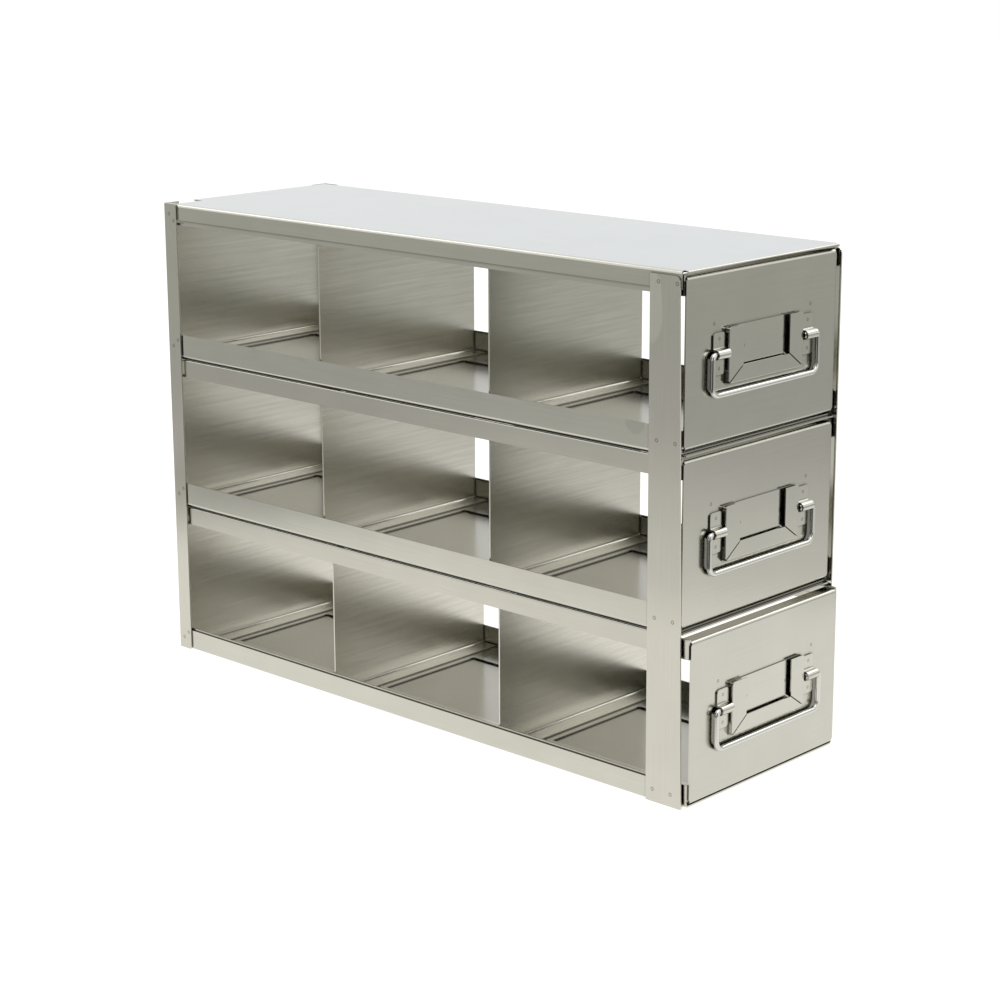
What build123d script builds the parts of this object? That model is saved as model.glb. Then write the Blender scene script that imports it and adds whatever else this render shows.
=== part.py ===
import os

from build123d import *

# Rack, millimetres. X is the width, Y runs from the drawer fronts to the back, Z is up.
rack_width = 140.0
rack_depth = 424.0
shelf_pitch = 98.1
sheet = 0.9
bend_outer = 2 * sheet

levels = ("bottom", "middle", "top")
pulled_out = {"bottom": 7.0, "middle": 0.0, "top": 0.0}
rack_height = len(levels) * shelf_pitch + sheet
half_width = rack_width / 2
half_depth = rack_depth / 2

# Posts: flat strips in front, folded angles at the back. The left front strip leans back at its
# head, which opens a narrow slot beside the upper drawers.
front_post_width = 22.5
left_foot_forward = 2.0
left_head_back = 3.5
left_head_width = 20.0
front_post_drop = 2.9
front_post_corner = 3.0
rear_post_leg = 12.3
rear_post_corner = 2.0

# Shelves: channels whose side flanges stand up inside the posts.
inner_half = half_width - sheet
shelf_flange = 15.1
base_flange = 12.9
top_flange = 10.0
shelf_rear = half_depth - sheet - 1.1
shelf_front = -half_depth + 0.4
flange_front = -half_depth + 3.0
top_lip_half = inner_half - 2.1
top_lip_low = 1.9
top_lip_arch = 0.9
top_slit = 1.4
top_notch_half = inner_half - 23.1
top_notch_depth = 8.0
shelf_slits = {"shelf_middle": 0.5, "shelf_upper": 1.2}
slit_corner = 1.5

# Drawers: everything is measured from the underside of the shelf that carries it.
side_clearance = 0.3
glide_gap = 0.2
drawer_half = inner_half - sheet - side_clearance
lining_half = drawer_half - sheet
fold_half = lining_half - 1.0
tray_low = sheet + glide_gap
tray_floor = tray_low + sheet
lip_top = 14.2
face_y = -half_depth + 1.6
face_back = face_y + sheet
drawer_rear = half_depth - sheet - side_clearance
rear_inner = drawer_rear - sheet
tray_front = face_back + 0.5

panel_half = drawer_half - 1.1
panel_low = 3.0
panel_high = shelf_pitch - 2.4
panel_return = 8.0
panel_corner = 1.0

rail_high = shelf_pitch - 1.3
rail_low = rail_high - 11.2
hem_width = 2 * sheet
hem_depth = 6.0
hem_round = 0.85
tab_width = 10.0
rail_tab_height = 8.0
rail_notches = {"bottom": 1.2, "middle": 8.8, "top": 14.0}
rail_heel = 2.0
rail_strip = 1.2
tray_tab_low = panel_low + bend_outer + 0.2

divider_count = 2
compartment = (rear_inner - face_back - divider_count * sheet) / (divider_count + 1)
divider_high = rail_high - hem_depth - 0.2
wall_corner = 1.0
foot_depth = 13.0
cutout_half = drawer_half - 27.9
cutout_margin = 16.5
cutout_corner = 1.0

# Height of the handle's axis; the label holder is placed from it.
axis_height = shelf_pitch / 2 + 2.55

# Label holder: a plate folded forward on three sides, mitred at the lower corners.
holder_sheet = 0.7
holder_half = 33.2
holder_low = axis_height - 17.2
holder_high = axis_height + 13.5
holder_groove = 1.6
holder_side = 12.5
holder_bottom = 9.0
holder_corner = 2.0
holder_notch = 1.2
mitre_gap = 0.45
holder_bend = 0.6
holder_front = face_y - 2 * holder_sheet - holder_groove

# Handle: a wire bail swinging in two saddles pressed from strip.
wire_radius = 1.6
bore_clearance = 0.08
bore_radius = wire_radius + bore_clearance
saddle_radius = bore_radius + 1.0
axis_y = face_y - saddle_radius
saddle_inner = holder_half + 1.3
saddle_width = 10.0
saddle_height = 22.8
saddle_fillet = 0.8
saddle_corner = 2.2
bail_drop = 22.0
bail_half = saddle_inner + saddle_width + 2.5
bail_top_bend = 2.4
bail_low_bend = 5.0
bail_end = saddle_inner - 0.4
bail_end_chamfer = 0.3


def save(part, name):
    part.label = name
    export_step(part, f"parts/{name}.step")


def shelf_base(index):
    return index * shelf_pitch


# A bent strip: the outer line of the fold, thickened by one sheet on its left-hand side.
def folded(plane, *corners):
    with BuildSketch(plane) as profile:
        with BuildLine():
            FilletPolyline(*corners, radius=bend_outer)
            offset(amount=sheet, side=Side.LEFT)
        make_face()
    return profile.sketch


# Posts -----------------------------------------------------------------------------------------
def build_front_post(outer_face, foot_front, head_front, head_width):
    top = rack_height - front_post_drop
    with BuildPart() as post:
        with BuildSketch(Plane.YZ.offset(outer_face)):
            with BuildLine():
                Polyline(
                    (foot_front, 0),
                    (-half_depth + front_post_width, 0),
                    (head_front + head_width, top),
                    (head_front, top),
                    close=True,
                )
            make_face()
        extrude(amount=sheet)
        upper_corner = post.edges().filter_by(Axis.X).group_by(Axis.Z)[-1].sort_by(Axis.Y)[0]
        fillet(upper_corner, front_post_corner)
    return post.part


def build_rear_post():
    with BuildPart() as post:
        angle = folded(
            Plane.XY,
            (-half_width + rear_post_leg, half_depth),
            (-half_width, half_depth),
            (-half_width, half_depth - rear_post_leg),
        )
        extrude(angle, amount=rack_height)
        lower_corner = post.edges().filter_by(Axis.X).group_by(Axis.Z)[0].sort_by(Axis.Y)[0]
        fillet(lower_corner, rear_post_corner)
    return post.part


# Shelves and top ----------------------------------------------------------------------------------
# Slits through both side flanges, from their free edge to the bend, just ahead of the rear posts.
def slit_outlines(width):
    with BuildSketch() as outlines:
        for side in (-1, 1):
            with Locations((side * inner_half, half_depth - rear_post_leg - width)):
                Rectangle(2 * bend_outer, width)
    return outlines.sketch


def build_shelf(base, flange, slit):
    with BuildPart() as shelf:
        channel = folded(
            Plane.XZ.offset(-shelf_rear),
            (-inner_half, base + flange),
            (-inner_half, base),
            (inner_half, base),
            (inner_half, base + flange),
        )
        extrude(channel, amount=shelf_rear - flange_front)
        # The plain front edge runs on between the posts, under the drawer front.
        with BuildSketch(Plane.XY.offset(base)):
            with Locations((0, flange_front)):
                Rectangle(2 * panel_half, flange_front - shelf_front, align=(Align.CENTER, Align.MAX))
        extrude(amount=sheet)
        front_corners = shelf.edges().filter_by(Axis.Z).group_by(Axis.Y)[0]
        fillet(front_corners, panel_corner)
        if slit:
            slits = slit_outlines(slit).moved(Location((0, 0, base + bend_outer)))
            extrude(slits, amount=flange - bend_outer, mode=Mode.SUBTRACT)
            flange_tops = shelf.edges().filter_by(Axis.X).group_by(Axis.Z)[-1]
            fillet(flange_tops.group_by(Axis.Y)[1], slit_corner)
    return shelf.part


def build_top_panel():
    flange_low = rack_height - top_flange
    with BuildPart() as top:
        channel = folded(
            Plane.XZ.offset(-shelf_rear),
            (inner_half, flange_low),
            (inner_half, rack_height),
            (-inner_half, rack_height),
            (-inner_half, flange_low),
        )
        extrude(channel, amount=shelf_rear - flange_front)
        with BuildSketch(Plane.XY.offset(rack_height - sheet)):
            with Locations((0, flange_front)):
                Rectangle(2 * top_lip_half, flange_front + half_depth, align=(Align.CENTER, Align.MAX))
        extrude(amount=sheet)
        # Front lip, its lower edge bowed up towards the middle.
        with BuildSketch(Plane.XZ.offset(half_depth - sheet)):
            with BuildLine():
                ends = rack_height - top_lip_low
                ThreePointArc((-top_lip_half, ends), (0, ends + top_lip_arch), (top_lip_half, ends))
                Polyline(
                    (top_lip_half, ends),
                    (top_lip_half, rack_height),
                    (-top_lip_half, rack_height),
                    (-top_lip_half, ends),
                )
            make_face()
        extrude(amount=sheet)
        nose = top.edges().filter_by(Axis.X).group_by(Axis.Y)[0].group_by(Axis.Z)[-1]
        fillet(nose, sheet * 0.9)
        slits = slit_outlines(top_slit).moved(Location((0, 0, flange_low)))
        extrude(slits, amount=top_flange - bend_outer, mode=Mode.SUBTRACT)
        # A notch that clears the leg of the left rear post; the right rear corner stays whole.
        notch_width = inner_half - bend_outer - top_notch_half
        with BuildSketch(Plane.XY.offset(rack_height - sheet)):
            with Locations((-top_notch_half - notch_width / 2, shelf_rear)):
                Rectangle(notch_width, 2 * top_notch_depth)
        extrude(amount=sheet, mode=Mode.SUBTRACT)
    return top.part


# Drawer body ----------------------------------------------------------------------------------------
# A wall across the drawer: a folded strip between the side linings, with plain ears beside it.
def build_cross_wall(corners, back, low, high, half):
    with BuildPart() as wall:
        extrude(folded(Plane.YZ.offset(-fold_half), *corners), amount=2 * fold_half)
        with BuildSketch(Plane.XZ.offset(-back)):
            with Locations((0, (low + high) / 2)):
                RectangleRounded(2 * half, high - low, wall_corner)
        extrude(amount=sheet)
    return wall.part


def build_front_panel(base, front):
    corners = (
        (front + panel_return, base + panel_high),
        (front, base + panel_high),
        (front, base + panel_low),
        (front + panel_return, base + panel_low),
    )
    low = base + panel_low + bend_outer
    high = base + panel_high - bend_outer
    return build_cross_wall(corners, front + sheet, low, high, panel_half)


def build_footed_wall(base, back, high, half):
    floor = base + tray_floor
    corners = ((back - foot_depth, floor), (back, floor), (back, base + high))
    return build_cross_wall(corners, back, floor + bend_outer, base + high, half)


def cutout_centres(out):
    first = face_back + compartment / 2
    return [(0, first + i * (compartment + sheet) - out) for i in range(divider_count + 1)]


def build_tray(base, out):
    rear = rear_inner - out
    front = tray_front - out
    low = base + tray_low
    tab_height = lip_top - tray_tab_low
    with BuildPart() as tray:
        channel = folded(
            Plane.XZ.offset(-rear),
            (-drawer_half, base + lip_top),
            (-drawer_half, low),
            (drawer_half, low),
            (drawer_half, base + lip_top),
        )
        extrude(channel, amount=rear - front)
        # Tabs folded in behind the drawer front, one at each lip.
        with BuildSketch(Plane.XZ.offset(-(face_back + sheet - out))):
            for side in (-1, 1):
                with Locations((side * (drawer_half - tab_width / 2), base + tray_tab_low + tab_height / 2)):
                    Rectangle(tab_width, tab_height)
        extrude(amount=sheet)
        with BuildSketch(Plane.XY.offset(low)):
            with Locations(*cutout_centres(out)):
                RectangleRounded(2 * cutout_half, compartment - 2 * cutout_margin, cutout_corner)
        extrude(amount=sheet, mode=Mode.SUBTRACT)
    return tray.part


def build_rail(base, out, notch):
    rear = rear_inner - out
    front = face_back - out
    with BuildPart() as rail:
        with BuildSketch(Plane.XZ.offset(-rear)) as section:
            with Locations((-drawer_half, base + rail_low)):
                Rectangle(sheet, rail_high - rail_low, align=(Align.MIN, Align.MIN))
            with Locations((-drawer_half, base + rail_high)):
                Rectangle(hem_width, hem_depth, align=(Align.MIN, Align.MAX))
            fillet(section.vertices().group_by(Axis.Y)[-1], hem_round)
        extrude(amount=rear - front)
        # Notch beside the rear post; a narrow strip joins the rail to its heel.
        with BuildSketch(Plane.XY.offset(base + rail_low + rail_strip)):
            with Locations((-drawer_half, rear - rail_heel)):
                Rectangle(hem_width, notch, align=(Align.MIN, Align.MAX))
        extrude(amount=rail_high - rail_low - rail_strip, mode=Mode.SUBTRACT)
        # Weld tabs folded in at both ends.
        for tab_rear in (front + sheet, rear):
            with BuildSketch(Plane.XZ.offset(-tab_rear)):
                with Locations((-drawer_half, base + rail_low)):
                    Rectangle(tab_width, rail_tab_height, align=(Align.MIN, Align.MIN))
            extrude(amount=sheet)
    return rail.part


# Label holder -------------------------------------------------------------------------------------
def build_label_holder(base, out):
    low = base + holder_low
    high = base + holder_high
    height = high - low
    free_x = holder_half - holder_side
    free_z = low + holder_bottom
    with BuildPart() as holder:
        with BuildSketch(Plane.XZ.offset(-(face_y - out))):
            with Locations((0, (low + high) / 2)):
                Rectangle(2 * holder_half, height)
        extrude(amount=holder_sheet)
        # Side and bottom webs, short of the corners.
        with BuildSketch(Plane.XZ.offset(-(face_y - out))):
            for side in (-1, 1):
                with Locations((side * (holder_half - holder_sheet / 2), high)):
                    Rectangle(holder_sheet, height - holder_notch, align=(Align.CENTER, Align.MAX))
            with Locations((0, low)):
                Rectangle(2 * (holder_half - holder_notch), holder_sheet, align=(Align.CENTER, Align.MIN))
        extrude(amount=face_y - holder_front)
        # Front flanges.
        with BuildSketch(Plane.XZ.offset(-(holder_front + holder_sheet - out))):
            with BuildLine():
                Polyline(
                    (-holder_half + holder_notch, low),
                    (-holder_half + holder_notch, low + holder_sheet),
                    (-free_x + mitre_gap, free_z),
                    (free_x - mitre_gap, free_z),
                    (holder_half - holder_notch, low + holder_sheet),
                    (holder_half - holder_notch, low),
                    close=True,
                )
            make_face()
            for side in (-1, 1):
                with BuildLine():
                    Polyline(
                        (side * holder_half, high),
                        (side * free_x, high),
                        (side * free_x, free_z + mitre_gap),
                        (side * (holder_half - holder_sheet), low + holder_notch),
                        (side * holder_half, low + holder_notch),
                        close=True,
                    )
                make_face()
        extrude(amount=holder_sheet)
        folds = holder.edges().group_by(Axis.Y)[0]
        upright_folds = folds.filter_by(Axis.Z).filter_by(lambda e: abs(e.center().X) > free_x + 1)
        bottom_fold = folds.filter_by(Axis.X).group_by(Axis.Z)[0]
        fillet(upright_folds + bottom_fold, holder_bend)
        with BuildSketch(Plane.XZ.offset(-(face_y - out))) as outline:
            with Locations((0, (low + high) / 2)):
                Rectangle(2 * holder_half, height)
            fillet(outline.vertices().group_by(Axis.Y)[-1], holder_corner)
        extrude(amount=face_y - holder_front, mode=Mode.INTERSECT)
    return holder.part


# Handle -------------------------------------------------------------------------------------------
def build_saddle(base, out):
    z = base + axis_height
    y = axis_y - out
    back = face_y - out
    with BuildPart() as saddle:
        with BuildSketch(Plane.YZ.offset(-saddle_inner - saddle_width)) as section:
            with Locations((back, z)):
                Rectangle(sheet, saddle_height, align=(Align.MAX, Align.CENTER))
                Rectangle(back - y, 2 * saddle_radius, align=(Align.MAX, Align.CENTER))
            with Locations((y, z)):
                Circle(saddle_radius)
            roots = section.vertices().filter_by_position(Axis.X, back - sheet - 0.01, back - sheet + 0.01)
            fillet(roots.sort_by(Axis.Y)[1:-1], saddle_fillet)
            with Locations((y, z)):
                Circle(bore_radius, mode=Mode.SUBTRACT)
            with Locations((back, z)):
                Rectangle(
                    back - y, 2 * bore_radius, align=(Align.MAX, Align.CENTER), mode=Mode.SUBTRACT
                )
        extrude(amount=saddle_width)
        plate_corners = saddle.edges().filter_by(Axis.Y)
        fillet(plate_corners.group_by(Axis.Z)[0] + plate_corners.group_by(Axis.Z)[-1], saddle_corner)
    return saddle.part


def build_bail(base, out):
    z = base + axis_height
    low = z - bail_drop
    with BuildPart() as bail:
        with BuildLine(Plane.XZ.offset(out - axis_y)):
            Line((-bail_end, z), (-bail_half + bail_top_bend, z))
            CenterArc((-bail_half + bail_top_bend, z - bail_top_bend), bail_top_bend, 90, 90)
            Line((-bail_half, z - bail_top_bend), (-bail_half, low + bail_low_bend))
            CenterArc((-bail_half + bail_low_bend, low + bail_low_bend), bail_low_bend, 180, 90)
            Line((-bail_half + bail_low_bend, low), (0, low))
            mirror(about=Plane.YZ)
        with BuildSketch(Plane.YZ.offset(-bail_end)):
            with Locations((axis_y - out, z)):
                Circle(wire_radius)
        sweep()
        ends = bail.faces().filter_by(GeomType.PLANE)
        chamfer(ends.edges(), bail_end_chamfer)
    return bail.part


# Assembly -------------------------------------------------------------------------------------------
os.makedirs("parts", exist_ok=True)

left_foot = -half_depth - left_foot_forward
left_head = -half_depth + left_head_back
save(build_front_post(-half_width, left_foot, left_head, left_head_width), "post_front_left")
save(build_front_post(inner_half, -half_depth, -half_depth, front_post_width), "post_front_right")
rear_post = build_rear_post()
save(rear_post, "post_rear_left")
save(mirror(rear_post, about=Plane.YZ), "post_rear_right")

save(build_shelf(shelf_base(0), base_flange, slit=0), "base_panel")
for index, (shelf_name, slit) in enumerate(shelf_slits.items(), start=1):
    save(build_shelf(shelf_base(index), shelf_flange, slit), shelf_name)
save(build_top_panel(), "top_panel")

for index, level in enumerate(levels):
    base = shelf_base(index)
    out = pulled_out[level]
    front_wall_back = face_back - out + compartment + sheet
    rear_wall_back = front_wall_back + compartment + sheet
    save(build_tray(base, out), f"{level}_tray")
    save(build_front_panel(base, face_y - out), f"{level}_front_panel")
    save(build_footed_wall(base, front_wall_back, divider_high, lining_half), f"{level}_divider_front")
    save(build_footed_wall(base, rear_wall_back, divider_high, lining_half), f"{level}_divider_rear")
    save(build_footed_wall(base, drawer_rear - out, panel_high, drawer_half), f"{level}_rear_wall")
    save(build_label_holder(base, out), f"{level}_label_holder")
    save(build_bail(base, out), f"{level}_bail")
    rail = build_rail(base, out, rail_notches[level])
    save(rail, f"{level}_rail_left")
    save(mirror(rail, about=Plane.YZ), f"{level}_rail_right")
    saddle = build_saddle(base, out)
    save(saddle, f"{level}_saddle_left")
    save(mirror(saddle, about=Plane.YZ), f"{level}_saddle_right")
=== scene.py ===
import math

import bpy
import numpy as np
from mathutils import Matrix, Vector


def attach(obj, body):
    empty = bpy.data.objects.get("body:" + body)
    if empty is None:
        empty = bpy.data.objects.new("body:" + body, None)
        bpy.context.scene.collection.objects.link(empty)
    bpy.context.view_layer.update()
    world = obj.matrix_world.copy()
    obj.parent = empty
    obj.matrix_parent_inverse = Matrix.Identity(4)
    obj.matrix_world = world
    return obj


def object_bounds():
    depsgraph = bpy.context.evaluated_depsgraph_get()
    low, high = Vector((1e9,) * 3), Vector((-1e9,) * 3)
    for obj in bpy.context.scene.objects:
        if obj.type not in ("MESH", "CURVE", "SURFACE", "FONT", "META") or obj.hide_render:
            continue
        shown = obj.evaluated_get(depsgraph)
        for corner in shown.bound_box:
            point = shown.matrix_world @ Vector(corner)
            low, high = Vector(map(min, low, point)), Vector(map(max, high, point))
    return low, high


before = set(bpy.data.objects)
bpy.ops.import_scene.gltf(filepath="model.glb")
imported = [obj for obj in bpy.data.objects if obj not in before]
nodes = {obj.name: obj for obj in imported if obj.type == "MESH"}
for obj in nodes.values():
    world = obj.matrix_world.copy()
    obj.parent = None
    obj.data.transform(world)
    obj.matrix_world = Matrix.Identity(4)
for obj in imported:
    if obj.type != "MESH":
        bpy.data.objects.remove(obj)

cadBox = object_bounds()
mmPerM = 1000.0


def linear(hexCode):
    # sRGB hex such as "#a9a89b" to a linear colour
    parts = np.array([int(hexCode[i:i + 2], 16) for i in (1, 3, 5)]) / 255.0
    low = parts / 12.92
    high = ((parts + 0.055) / 1.055) ** 2.4
    return tuple(np.where(parts <= 0.04045, low, high)) + (1.0,)


def addNode(tree, kind, inputs=None, **settings):
    # one node: plain values go on its sockets, sockets given as values are linked
    made = tree.nodes.new(kind)
    for key, value in settings.items():
        setattr(made, key, value)
    for key, value in (inputs or {}).items():
        if isinstance(value, bpy.types.NodeSocket):
            tree.links.new(value, made.inputs[key])
        else:
            made.inputs[key].default_value = value
    return made


def math2(tree, operation, a, b=0.0, clamp=False):
    return addNode(tree, "ShaderNodeMath", {0: a, 1: b}, operation=operation, use_clamp=clamp).outputs[0]


def remap(tree, value, fromLow, fromHigh, toLow, toHigh, smooth=False):
    kind = "SMOOTHSTEP" if smooth else "LINEAR"
    ends = {"Value": value, "From Min": fromLow, "From Max": fromHigh, "To Min": toLow, "To Max": toHigh}
    return addNode(tree, "ShaderNodeMapRange", ends, interpolation_type=kind).outputs["Result"]


def mixColour(tree, factor, a, b, how="MIX"):
    made = addNode(tree, "ShaderNodeMix", {0: factor, 6: a, 7: b}, data_type="RGBA", blend_type=how)
    return made.outputs[2]


def distance(tree, a, b):
    return addNode(tree, "ShaderNodeVectorMath", {0: a, 1: b}, operation="DISTANCE").outputs["Value"]


def split(tree, vector):
    return addNode(tree, "ShaderNodeSeparateXYZ", {0: vector}).outputs


def noiseAt(tree, place, sizeMm, detail=2.0, roughness=0.5):
    # noise whose features measure sizeMm (x, y, z) in real millimetres
    scale = tuple(mmPerM / v for v in sizeMm)
    mapped = addNode(tree, "ShaderNodeMapping", {"Vector": place, "Scale": scale})
    return addNode(tree, "ShaderNodeTexNoise", {"Vector": mapped.outputs[0], "Scale": 1.0, "Detail": detail,
                   "Roughness": roughness}).outputs["Fac"]


def emptyTree(holder):
    # the node tree of a material or world, cleared
    holder.use_nodes = True
    holder.node_tree.nodes.clear()
    return holder.node_tree


camera = {
    "place": (-0.99771, -0.95022, 0.48082),
    "tilt": 76.4476,            # degrees up from straight down
    "roll": 0.2191,
    "heading": -46.911,         # degrees round from looking along +Y
    "lens": 83.47,
    "shiftY": -0.04,
    "clip": (0.05, 50.0),
}


def placeCamera(c):
    data = bpy.data.cameras.new("standCamera")
    data.lens = c["lens"]
    data.sensor_width = 36.0
    data.sensor_fit = "HORIZONTAL"
    data.shift_y = c["shiftY"]
    data.clip_start, data.clip_end = c["clip"]
    seat = bpy.data.objects.new("standCamera", data)
    bpy.context.scene.collection.objects.link(seat)
    seat.location = c["place"]
    seat.rotation_euler = [math.radians(c[name]) for name in ("tilt", "roll", "heading")]
    bpy.context.scene.camera = seat


placeCamera(camera)
print("camera placed")


stage = {
    "floorHalf": 6.0,
    "floorColour": "#c9c5ba",
    "floorGlow": 0.82,          # seen directly, the floor reads white
    # the lit floor as steel mirrors it: from, to (m from the rack), loss
    "poolSteps": ((0.24, 0.34, 0.24), (0.36, 0.82, 0.28)),
    "floorTint": (1.0, 0.992, 0.965, 1.0),
    # painted shade: a dimmer patch in the floor's glow at the left rear, seen only in the steel's
    # reflections: centre, core, rim, loss
    "dimPatch": ((-0.43, 0.51), 0.05, 0.19, 0.34),
    "viewSide": (-0.724, -0.690),       # the open, unlit side of the studio, mirrored by concave corners
    "viewSlope": (0.25, 0.60),          # how far to each side of it the dark reaches: full, none
    "viewReach": (0.24, 0.40),          # m from the middle where the dark starts, where it is full
    "viewNear": 0.01,                   # keeps the division for the slope away from nought
    "viewGrey": 0.13,
    "worldSeen": 1.0,
    "worldLight": 0.42,
    "cardTint": (0.985, 1.0, 0.94, 1),
    "cardLift": 0.002,                  # clear of the floor
    # boards round the rack, seen only in its reflections: foot centre, width, height, facing, grey
    "cards": {
        "rightBoard": ((1.00, -0.95, 0.0), 1.9, 0.26, (-0.70, 0.70), 0.47),
        "leftBoard": ((-0.95, 1.00, 0.0), 1.9, 0.26, (0.70, -0.70), 0.47),
        "nearBoard": ((-1.40, -1.34, 0.0), 1.5, 1.6, (0.70, 0.70), 0.07),
    },
    # lamps: place, width, length, power, tint; the strips light the bends along the rack and across its front
    "lamps": {
        "softTop": ((-0.3, -0.2, 2.2), 1.8, 1.8, 14.0, (1.0, 0.99, 0.97)),
        "rearStrip": ((-0.50, 1.45, 1.55), 0.8, 0.8, 2.4, (1.0, 1.0, 1.0)),
        "sideStrip": ((1.50, -0.50, 1.45), 0.7, 0.7, 2.2, (1.0, 1.0, 1.0)),
    },
    "lampAim": (0.0, 0.0, 0.12),
}


def seenRays(tree):
    # 1 for camera, glossy and transmission rays, 0 for the light that falls on the rack
    path = addNode(tree, "ShaderNodeLightPath").outputs
    some = math2(tree, "ADD", path["Is Camera Ray"], path["Is Glossy Ray"], clamp=True)
    return math2(tree, "ADD", some, path["Is Transmission Ray"], clamp=True)


def flatSheet(name, corners):
    mesh = bpy.data.meshes.new(name)
    mesh.from_pydata([tuple(c) for c in corners], [], [(0, 1, 2, 3)])
    thing = bpy.data.objects.new(name, mesh)
    bpy.context.scene.collection.objects.link(thing)
    return thing


def mirroredFloor(tree, s):
    # strength of the floor for glossy rays: 1 beside the rack, fading outwards, dark on the open side
    place = addNode(tree, "ShaderNodeTexCoord").outputs["Object"]
    axes = split(tree, place)
    away = []
    for i in (0, 1):
        half = (cadBox[1][i] - cadBox[0][i]) / 2
        past = math2(tree, "SUBTRACT", math2(tree, "ABSOLUTE", axes[i]), half)
        away.append(math2(tree, "MAXIMUM", past, 0.0))
    squares = [math2(tree, "MULTIPLY", a, a) for a in away]
    far = math2(tree, "SQRT", math2(tree, "ADD", squares[0], squares[1]))
    pool = 1.0
    for near, end, loss in s["poolSteps"]:
        pool = math2(tree, "SUBTRACT", pool, remap(tree, far, near, end, 0.0, loss, True))
    # painted shade: the floor's glow is lowered round this spot
    spot, core, rim, loss = s["dimPatch"]
    gap = distance(tree, place, spot + (0.0,))
    pool = math2(tree, "SUBTRACT", pool, remap(tree, gap, core, rim, loss, 0.0, True))
    # along and across are the distances in and square to the direction of viewSide
    sideX, sideY = s["viewSide"]
    along = math2(tree, "ADD", math2(tree, "MULTIPLY", axes[0], sideX),
                  math2(tree, "MULTIPLY", axes[1], sideY))
    across = math2(tree, "SUBTRACT", math2(tree, "MULTIPLY", axes[0], sideY),
                   math2(tree, "MULTIPLY", axes[1], sideX))
    ahead = math2(tree, "MAXIMUM", along, s["viewNear"])
    ratio = math2(tree, "DIVIDE", math2(tree, "ABSOLUTE", across), ahead)
    dark = math2(tree, "MULTIPLY", remap(tree, ratio, *s["viewSlope"], 1.0, 0.0, True),
                 remap(tree, along, *s["viewReach"], 0.0, 1.0, True))
    return math2(tree, "MULTIPLY", pool, remap(tree, dark, 0.0, 1.0, 1.0, s["viewGrey"]))


def makeFloor(s):
    # white to the camera, plain and dull to the light, a lit pool to anything that mirrors it
    h = s["floorHalf"]
    floor = flatSheet("floor", ((-h, -h, 0), (h, -h, 0), (h, h, 0), (-h, h, 0)))
    mat = bpy.data.materials.new("paleFloor")
    tree = emptyTree(mat)
    path = addNode(tree, "ShaderNodeLightPath").outputs
    dull = addNode(tree, "ShaderNodeBsdfDiffuse", {"Color": linear(s["floorColour"])})
    seen = math2(tree, "MAXIMUM", path["Is Camera Ray"], path["Is Transmission Ray"])
    glowing = math2(tree, "MULTIPLY", seen, s["floorGlow"])
    glow = addNode(tree, "ShaderNodeEmission", {"Color": (1, 1, 1, 1), "Strength": glowing})
    direct = addNode(tree, "ShaderNodeAddShader", {0: dull.outputs[0], 1: glow.outputs[0]})
    lit = mirroredFloor(tree, s)
    mirrored = addNode(tree, "ShaderNodeEmission", {"Color": s["floorTint"], "Strength": lit})
    both = addNode(tree, "ShaderNodeMixShader",
                   {0: path["Is Glossy Ray"], 1: direct.outputs[0], 2: mirrored.outputs[0]})
    addNode(tree, "ShaderNodeOutputMaterial", {"Surface": both.outputs[0]})
    floor.data.materials.append(mat)
    floor.visible_shadow = False        # so that the crevice shading ignores the floor


def makeCard(name, centre, width, height, facing, grey):
    side = np.array((-facing[1], facing[0], 0.0)) * width / 2 / math.hypot(*facing)
    foot = np.array(centre) + np.array((0, 0, stage["cardLift"]))
    up = np.array((0, 0, height))
    card = flatSheet(name, (foot - side, foot + side, foot + side + up, foot - side + up))
    mat = bpy.data.materials.new(name + "Grey")
    tree = emptyTree(mat)
    glow = addNode(tree, "ShaderNodeEmission", {"Color": stage["cardTint"], "Strength": grey})
    addNode(tree, "ShaderNodeOutputMaterial", {"Surface": glow.outputs[0]})
    card.data.materials.append(mat)
    card.visible_camera = False
    card.visible_diffuse = False
    card.visible_shadow = False


def makeWorld(s):
    world = bpy.data.worlds.new("plainStudio")
    tree = emptyTree(world)
    level = remap(tree, seenRays(tree), 0.0, 1.0, s["worldLight"], s["worldSeen"])
    sky = addNode(tree, "ShaderNodeBackground", {"Color": (1, 1, 1, 1), "Strength": level})
    addNode(tree, "ShaderNodeOutputWorld", {"Surface": sky.outputs[0]})
    bpy.context.scene.world = world


def makeLamp(name, place, width, length, power, tint):
    data = bpy.data.lights.new(name, "AREA")
    data.shape = "RECTANGLE"
    data.size = width
    data.size_y = length
    data.energy = power
    data.color = tint
    lamp = bpy.data.objects.new(name, data)
    bpy.context.scene.collection.objects.link(lamp)
    aim = Vector(stage["lampAim"]) - Vector(place)
    lamp.matrix_world = Matrix.Translation(place) @ aim.to_track_quat("-Z", "Y").to_matrix().to_4x4()


makeFloor(stage)
for cardName, cardFacts in stage["cards"].items():
    makeCard(cardName, *cardFacts)
makeWorld(stage)
for lampName, lampFacts in stage["lamps"].items():
    makeLamp(lampName, *lampFacts)
bpy.context.scene.view_settings.view_transform = "Standard"
print("stage and lights ready")


# spot-weld centres in mm: (y, z) on the strips, (x, z) on the drawer fronts (z from each drawer's foot)
stripWelds = [(y, z) for y in (-206.8, -194.2) for z in (7.2, 105.3, 203.4, 288.3)]
stripWelds += [(206.5, z) for z in (7.4, 105.5, 203.6, 288.7)]
stripWelds += [(202.0, z) for z in (11.5, 109.6, 207.7, 284.6)]
frontWelds = [(side * x, z) for side in (-1, 1)
              for x, z in ((18.0, 53.15), (39.5, 43.6), (39.5, 59.6), (43.0, 68.0))]

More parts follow.
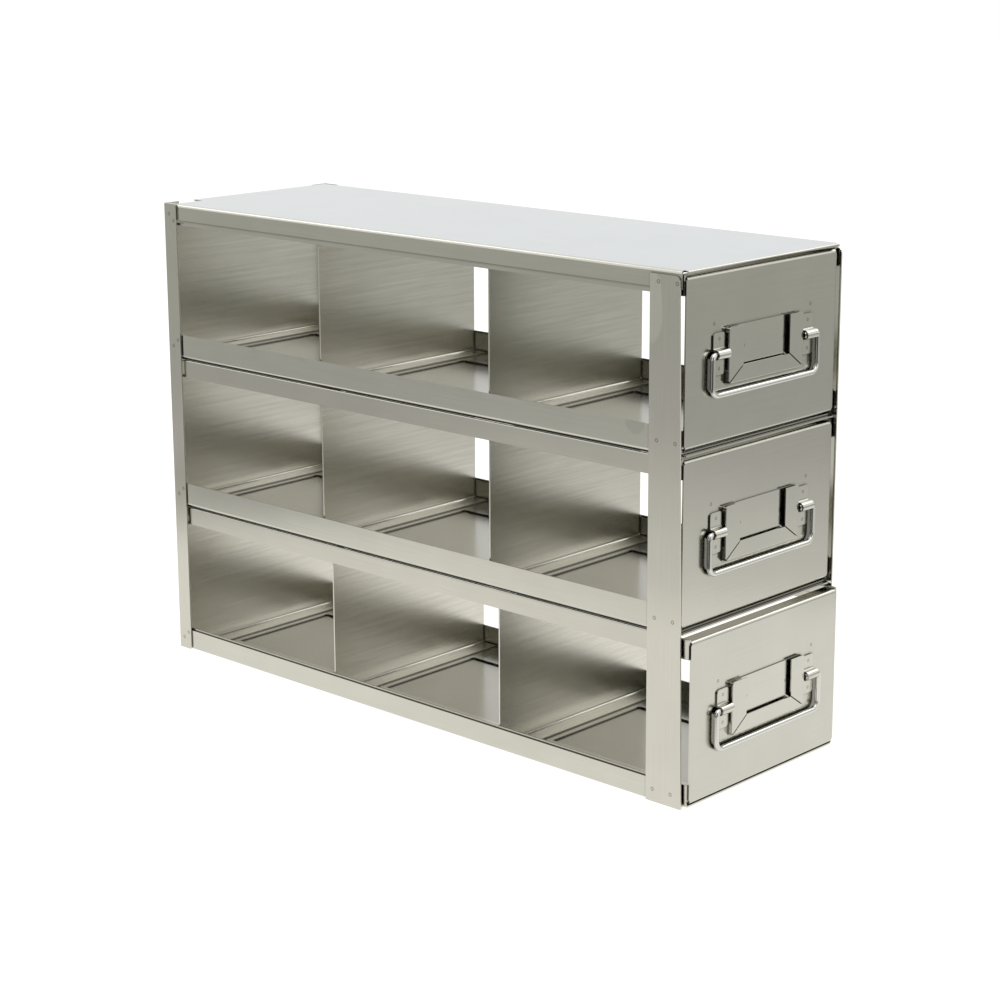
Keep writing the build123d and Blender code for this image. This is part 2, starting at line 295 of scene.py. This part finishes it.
# what every steel has unless its own row below says otherwise; sizes are real millimetres
plainSteel = {
    "grainMm": 0.7,             # across the grain; a real grain is finer than a pixel, so this one is coarser
    "grainLengthMm": 60.0,
    "grainDeep": 0.25,
    "grainEnds": (0.25, 0.75),  # the part of the noise that runs from dark to light
    "driftMm": 45.0,            # slow change of tone over the sheet
    "driftEnds": (0.35, 0.65),
    "drift": 0.03,
    "marksMm": (16.0, 19.0, 14.0),      # wipe marks and fingerprints, soft and broad
    "marksEnds": (0.3, 0.7),
    "marks": 0.015,
    "spotPitch": 0.0,
    "spotFar": 99.0,            # mm, further than any weld can be
    "spotEdge": (0.10, 0.55),   # half width of a weld ring: solid, faded out
    "spotDeep": 1.2,
    "wornTear": 0.22,           # how far marks tear the rim of a rubbed patch, as a share of its half width
    "wornRim": (0.80, 1.0),
    "edgeTurn": (0.75, 0.95),   # a face turned this far towards edgeAxis is a sheared edge: dull, with a painted highlight from edgeHighlight lightening its colour
    "edgeHighlight": 1.2,
    "edgeDulling": 0.30,
    "upTurn": (0.90, 0.98),     # a face turned this far up takes upPaintedShade, a painted shade (on the top plate a painted cool reflection of the ceiling) in place of its tone
    "creviceMm": 2.0,           # painted shade: the colour darkens this near to folds and fittings
    "paintedCreviceShade": 0.25,
    "creviceEnds": (0.45, 0.97),
    "bump": 0.10,
    "bumpDepth": 0.00006,
}
finishes = {
    # upright strips: grain runs up the strip, spot-weld rings show at each shelf, the sheared edges carry a
    # painted highlight
    "brushedPostStrip": {
        "tone": "#d8d6cb", "darkTone": "#d2d0c5", "along": "z", "rough": (0.15, 0.19), "bump": 0.05,
        "spots": stripWelds, "spotPlane": "y", "spotRing": 0.85, "spotDark": 0.55,
        "worn": (-190.0, 274.0, 8.0, 20.0, 1.09, 0.08), "edgeAxis": "y"},
    # shelves and their turned-up sides: cold-rolled sheet with the grain along the rack
    "rolledShelfSheet": {
        "tone": "#d5d4c9", "darkTone": "#d0cfc4", "upPaintedShade": "#a7a59b", "along": "y", "rough": (0.175, 0.175),
        "marks": 0.02, "bump": 0.03, "worn": (-178.5, 210.5, 7.5, 7.0, 0.88, 0.05)},
    # top plate: the same sheet; its up-facing faces carry a painted cool reflection of the ceiling
    "rolledTopPlate": {
        "tone": "#d6d4c9", "darkTone": "#d0cec3", "upPaintedShade": "#c8cdcd", "along": "y", "rough": (0.17, 0.21),
        "bump": 0.02},
    # trays: smoother sheet that shows soft mirror images of the walls
    "brightTraySheet": {
        "tone": "#d4d2c7", "darkTone": "#cfcdc2", "upPaintedShade": "#bab8ad", "along": "y", "rough": (0.195, 0.195),
        "marks": 0.02, "bump": 0.01},
    # cross walls: satin sheet, even, with an almost invisible grain
    "satinWallSheet": {
        "tone": "#e3e1d6", "darkTone": "#d4d2c7", "along": "x", "grainMm": 1.8, "rough": (0.268, 0.268),
        "marks": 0.02, "bump": 0.0},
    # drawer fronts: satin sheet with fine streaks across it, small weld rings near the fittings
    "satinFrontSheet": {
        "tone": "#d2d0c6", "darkTone": "#cecdc3", "upPaintedShade": "#a19c90", "along": "x", "rough": (0.17, 0.20),
        "bump": 0.02, "spots": frontWelds, "spotPlane": "x", "spotPitch": 98.1, "spotRing": 0.7,
        "spotDark": 0.6},
    # label frames and saddles: thin pressed sheet whose sheared edges catch the light
    "pressedFittingSheet": {
        "tone": "#d5d3c9", "darkTone": "#d1d0c6", "along": "x", "rough": (0.15, 0.18), "bump": 0.02,
        "creviceMm": 1.5, "paintedCreviceShade": 0.35, "spots": frontWelds, "spotPlane": "x", "spotPitch": 98.1,
        "spotRing": 0.7, "spotDark": 0.6},
    # bails: drawn wire, nearly a mirror, so it shows hard black and white bands
    "drawnBailWire": {
        "tone": "#dddcd6", "darkTone": "#d8d7d0", "along": "x", "rough": (0.05, 0.08), "bump": 0.0},
}


def spotDistance(tree, place, look):
    # distance in mm to the nearest weld: the least of those to every centre, heights repeating each pitch
    axes = split(tree, place)
    across = math2(tree, "MULTIPLY", axes["xyz".index(look["spotPlane"])], mmPerM)
    height = math2(tree, "MULTIPLY", axes[2], mmPerM)
    if look["spotPitch"]:
        height = math2(tree, "MODULO", height, look["spotPitch"])
    flat = addNode(tree, "ShaderNodeCombineXYZ", {0: across, 1: height}).outputs[0]
    nearest = look["spotFar"]
    for a, b in look["spots"]:
        nearest = math2(tree, "MINIMUM", distance(tree, flat, (a, b, 0.0)), nearest)
    return nearest


def wornPatch(tree, place, marks, look):
    # 1 inside a rubbed oval with a soft torn rim, on the -X side only
    # worn holds its centre (y, z), half width and half height in mm, then its tone and roughness change
    a, b, wide, high = look["worn"][:4]
    axes = split(tree, place)
    dy = remap(tree, axes[1], (a - wide) / mmPerM, (a + wide) / mmPerM, -1.0, 1.0)
    dz = remap(tree, axes[2], (b - high) / mmPerM, (b + high) / mmPerM, -1.0, 1.0)
    squares = math2(tree, "ADD", math2(tree, "MULTIPLY", dy, dy), math2(tree, "MULTIPLY", dz, dz))
    tear = look["wornTear"]
    oval = math2(tree, "ADD", math2(tree, "SQRT", squares), remap(tree, marks, 0.0, 1.0, -tear, tear))
    rub = remap(tree, oval, *look["wornRim"], 1.0, 0.0, True)
    return math2(tree, "MULTIPLY", rub, math2(tree, "LESS_THAN", axes[0], 0.0))


def facing(tree):
    # the way a face looks, bump left out
    return split(tree, addNode(tree, "ShaderNodeNewGeometry").outputs["True Normal"])


def steel(name, ownLook):
    # stainless sheet: a warm grey metal with fine rolled grain along one axis and faint handling marks
    look = {**plainSteel, **ownLook}
    mat = bpy.data.materials.new(name)
    tree = emptyTree(mat)
    place = addNode(tree, "ShaderNodeTexCoord").outputs["Object"]
    size = [look["grainLengthMm"] if axis == look["along"] else look["grainMm"] for axis in "xyz"]
    grain = noiseAt(tree, place, size, 2.0, 0.6)
    cloud = noiseAt(tree, place, (look["driftMm"],) * 3, 2.0, 0.5)
    marks = noiseAt(tree, place, look["marksMm"], 1.0, 0.5)
    tone = mixColour(tree, remap(tree, grain, *look["grainEnds"], 0.0, 1.0), linear(look["darkTone"]),
                     linear(look["tone"]))
    level = remap(tree, cloud, *look["driftEnds"], 1.0 - look["drift"], 1.0)
    level = math2(tree, "MULTIPLY", level, remap(tree, marks, *look["marksEnds"], 1.0 - look["marks"], 1.0))
    rough = remap(tree, grain, *look["grainEnds"], *look["rough"])
    height = math2(tree, "MULTIPLY", grain, look["grainDeep"])
    if "spots" in look:
        off = math2(tree, "SUBTRACT", spotDistance(tree, place, look), look["spotRing"])
        ring = remap(tree, math2(tree, "ABSOLUTE", off), *look["spotEdge"], 1.0, 0.0, True)
        level = math2(tree, "MULTIPLY", level, remap(tree, ring, 0.0, 1.0, 1.0, look["spotDark"]))
        height = math2(tree, "SUBTRACT", height, math2(tree, "MULTIPLY", ring, look["spotDeep"]))
    if "worn" in look:
        gain, dulling = look["worn"][4:]
        rub = wornPatch(tree, place, marks, look)
        rough = math2(tree, "ADD", rough, math2(tree, "MULTIPLY", rub, dulling))
        level = math2(tree, "MULTIPLY", level, remap(tree, rub, 0.0, 1.0, 1.0, gain))
    # painted highlight: faces turned towards edgeAxis are made lighter in colour, and rougher
    if "edgeAxis" in look:
        sideways = math2(tree, "ABSOLUTE", facing(tree)["xyz".index(look["edgeAxis"])])
        edge = remap(tree, sideways, *look["edgeTurn"], 0.0, 1.0)
        level = math2(tree, "MULTIPLY", level, remap(tree, edge, 0.0, 1.0, 1.0, look["edgeHighlight"]))
        rough = math2(tree, "ADD", rough, math2(tree, "MULTIPLY", edge, look["edgeDulling"]))
    # painted shade: faces turned up take a darker colour (on the top plate a cooler one) in place of their
    # own tone
    if "upPaintedShade" in look:
        up = remap(tree, facing(tree)[2], *look["upTurn"], 0.0, 1.0)
        tone = mixColour(tree, up, tone, linear(look["upPaintedShade"]))
    # painted shade: ambient occlusion darkens the colour in folds, crevices and round fittings
    crevice = addNode(tree, "ShaderNodeAmbientOcclusion", {"Distance": look["creviceMm"] / mmPerM},
                      samples=6).outputs["AO"]
    shade = remap(tree, crevice, *look["creviceEnds"], look["paintedCreviceShade"], 1.0)
    level = math2(tree, "MULTIPLY", level, shade)
    grey = addNode(tree, "ShaderNodeCombineColor", {0: level, 1: level, 2: level}).outputs[0]
    tone = mixColour(tree, 1.0, tone, grey, "MULTIPLY")
    bump = addNode(tree, "ShaderNodeBump",
                   {"Height": height, "Strength": look["bump"], "Distance": look["bumpDepth"]})
    shader = addNode(tree, "ShaderNodeBsdfPrincipled", {"Base Color": tone, "Metallic": 1.0,
                     "Roughness": rough, "Normal": bump.outputs["Normal"]})
    addNode(tree, "ShaderNodeOutputMaterial", {"Surface": shader.outputs[0]})
    return mat


def finishFor(nodeName):
    if nodeName == "top_panel":
        return "rolledTopPlate"
    if nodeName.startswith("post_"):
        return "brushedPostStrip"
    if nodeName.startswith("shelf_") or nodeName == "base_panel":
        return "rolledShelfSheet"
    if nodeName.endswith("_tray") or "_rail_" in nodeName:
        return "brightTraySheet"
    if "_divider_" in nodeName or nodeName.endswith("_rear_wall"):
        return "satinWallSheet"
    if nodeName.endswith("_bail"):
        return "drawnBailWire"
    if nodeName.endswith("_label_holder") or "_saddle_" in nodeName:
        return "pressedFittingSheet"
    return "satinFrontSheet"


steels = {name: steel(name, look) for name, look in finishes.items()}
for nodeName, thing in nodes.items():
    thing.data.materials.clear()
    thing.data.materials.append(steels[finishFor(nodeName)])
print("finishes on", len(nodes), "nodes")


# painted shade: dark strips under the shelves stand in for the shadow in the gap above the drawer rails and
# close the line of light there; long boxes swept along y
gapShadeStrips = {
    "under": (0.1962, 0.0981),  # undersides they hang from
    "drop": 0.00105,
    "inner": 0.0652,            # from the rack's middle
    "thick": 0.0020,
    "ends": (-0.2050, 0.2050),
    "tones": ("#161512", "#24231f"),
    "mottleMm": (4.0, 9.0, 4.0),
    "rough": (0.55, 0.75),
    "slot": "shelf_steel",
}


def makeGapShadeStrips(g):
    # corner widths and heights of one strip's section, set at both ends, once for each shelf and side
    section = np.array([(0.0, 0.0), (g["thick"], 0.0), (g["thick"], g["drop"]), (0.0, g["drop"])])
    quads = [(0, 1, 2, 3), (7, 6, 5, 4), (0, 4, 5, 1), (1, 5, 6, 2), (2, 6, 7, 3), (3, 7, 4, 0)]
    points, faces = [], []
    for top in g["under"]:
        for side in (-1, 1):
            first = len(points)
            for y in g["ends"]:
                points += [(side * (g["inner"] + w), y, top - g["drop"] + h) for w, h in section]
            faces += [tuple(first + i for i in (quad if side > 0 else quad[::-1])) for quad in quads]
    mesh = bpy.data.meshes.new("gapShadeStrips")
    mesh.from_pydata(points, [], faces)
    strips = bpy.data.objects.new("gapShadeStrips", mesh)
    bpy.context.scene.collection.objects.link(strips)
    # painted shade: an almost black, dull, slightly mottled strip in place of the shadow in the gap
    mat = bpy.data.materials.new("paintedGapShade")
    tree = emptyTree(mat)
    place = addNode(tree, "ShaderNodeTexCoord").outputs["Object"]
    mottle = noiseAt(tree, place, g["mottleMm"], 3.0, 0.5)
    tone = mixColour(tree, mottle, *(linear(shade) for shade in g["tones"]))
    rough = remap(tree, mottle, 0.0, 1.0, *g["rough"])
    shader = addNode(tree, "ShaderNodeBsdfPrincipled", {"Base Color": tone, "Roughness": rough})
    addNode(tree, "ShaderNodeOutputMaterial", {"Surface": shader.outputs[0]})
    mesh.materials.append(mat)
    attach(strips, "rack")


makeGapShadeStrips(gapShadeStrips)
print("gap strips fitted")
